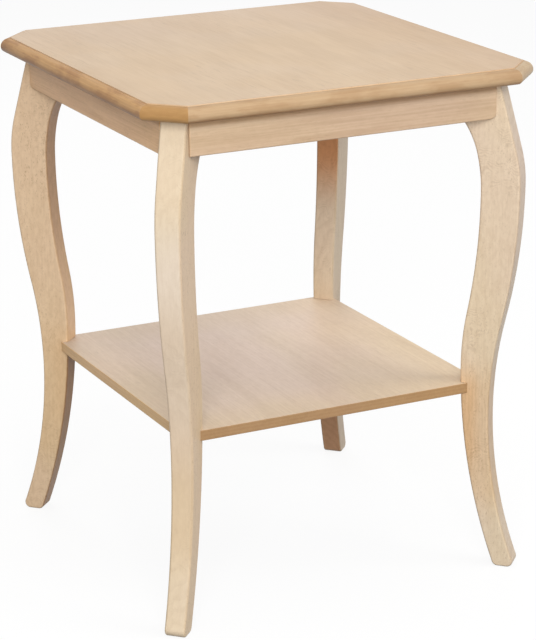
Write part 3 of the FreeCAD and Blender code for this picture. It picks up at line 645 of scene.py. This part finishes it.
def make_floor():
    bpy.ops.object.select_all(action="DESELECT")
    bpy.ops.mesh.primitive_plane_add(size=FLOOR_SIDE, location=(0, 0, 0))
    floor = bpy.context.object
    floor.name = "studio_floor"
    paper = Finish("studio_paper")
    ray = paper.add("LightPath")
    seen = paper.larger(ray.outputs["Is Camera Ray"], ray.outputs["Is Glossy Ray"])
    seen = paper.larger(seen, ray.outputs["Is Transmission Ray"])
    grey = paper.mix(seen, (FLOOR_THROWN,) * 3 + (1,), (FLOOR_SEEN,) * 3 + (1,))
    diffuse = paper.add("BsdfDiffuse", grey)
    glow = paper.add("Emission", (1, 1, 1, 1))
    paper.feed(glow.inputs["Strength"], paper.times(seen, FLOOR_GLOW))
    both = paper.add("AddShader", diffuse.outputs[0], glow.outputs[0])
    output = paper.add("OutputMaterial")
    paper.feed(output.inputs["Surface"], both.outputs[0])
    floor.data.materials.append(paper.material)


def make_world():
    """Even light from all round, with a white background behind the table."""
    world = bpy.data.worlds.new("studio_air")
    bpy.context.scene.world = world
    world.use_nodes = True
    nodes, links = world.node_tree.nodes, world.node_tree.links
    nodes.clear()
    ray = nodes.new("ShaderNodeLightPath")
    air = nodes.new("ShaderNodeBackground")
    air.inputs["Strength"].default_value = AIR_STRENGTH
    white = nodes.new("ShaderNodeBackground")
    seen = nodes.new("ShaderNodeMath")
    seen.operation = "MAXIMUM"
    links.new(ray.outputs["Is Camera Ray"], seen.inputs[0])
    links.new(ray.outputs["Is Glossy Ray"], seen.inputs[1])
    for background in (air, white):
        background.inputs["Color"].default_value = (1, 1, 1, 1)
    mix = nodes.new("ShaderNodeMixShader")
    links.new(seen.outputs[0], mix.inputs[0])
    links.new(air.outputs[0], mix.inputs[1])
    links.new(white.outputs[0], mix.inputs[2])
    output = nodes.new("ShaderNodeOutputWorld")
    links.new(mix.outputs[0], output.inputs["Surface"])


def make_lamp(name, turn, rise, power):
    """A square soft box that looks at the middle of the table.

    It stands so many degrees round from the front towards the right, and so many degrees up.
    """
    lamp = bpy.data.lights.new(name, "AREA")
    lamp.shape = "SQUARE"
    lamp.size = LAMP_SIDE
    lamp.energy = power
    turn, rise = math.radians(turn), math.radians(rise)
    back = Vector((math.sin(turn) * math.cos(rise), -math.cos(turn) * math.cos(rise), math.sin(rise)))
    middle = (cad_low + cad_high) / 2
    place = Matrix.Translation(middle + back * LAMP_DISTANCE)
    holder = bpy.data.objects.new(name, lamp)
    # the white air alone gives the lacquer its sheen, so that the top keeps its colour from every side
    holder.visible_glossy = False
    holder.matrix_world = place @ back.to_track_quat("Z", "Y").to_matrix().to_4x4()
    bpy.context.scene.collection.objects.link(holder)


# where the camera stands, how it turns, drops and rolls in degrees, and its focal length in pixels of a
# 536 x 640 picture
CAMERA_PLACE = Vector((-1.2078, -2.4322, 1.1518))
CAMERA_TURN = 26.555
CAMERA_DROP = 17.931
CAMERA_ROLL = -0.373
FOCAL_PIXELS = 2406.6
LONG_SIDE_PIXELS = 640


def make_camera():
    lens = bpy.data.cameras.new("camera")
    lens.sensor_fit = "AUTO"
    lens.lens = FOCAL_PIXELS / LONG_SIDE_PIXELS * lens.sensor_width
    lens.clip_start, lens.clip_end = 0.05, 50
    turn, drop, roll = (math.radians(angle) for angle in (CAMERA_TURN, CAMERA_DROP, CAMERA_ROLL))
    ahead = Vector((math.sin(turn) * math.cos(drop), math.cos(turn) * math.cos(drop), -math.sin(drop)))
    right = Vector((math.cos(turn), -math.sin(turn), 0))
    up = right.cross(ahead)
    right_rolled = right * math.cos(roll) + up * math.sin(roll)
    up_rolled = up * math.cos(roll) - right * math.sin(roll)
    camera = bpy.data.objects.new("camera", lens)
    outlook = Matrix((right_rolled, up_rolled, -ahead)).transposed().to_4x4()
    camera.matrix_world = Matrix.Translation(CAMERA_PLACE) @ outlook
    bpy.context.scene.collection.objects.link(camera)
    bpy.context.scene.camera = camera


make_floor()
make_world()
make_lamp("key_light", -26, 21, 75)
make_lamp("fill_light", 50, 30, 33)
make_lamp("back_light", 170, 50, 20)
make_camera()
bpy.context.scene.view_settings.view_transform = "Standard"
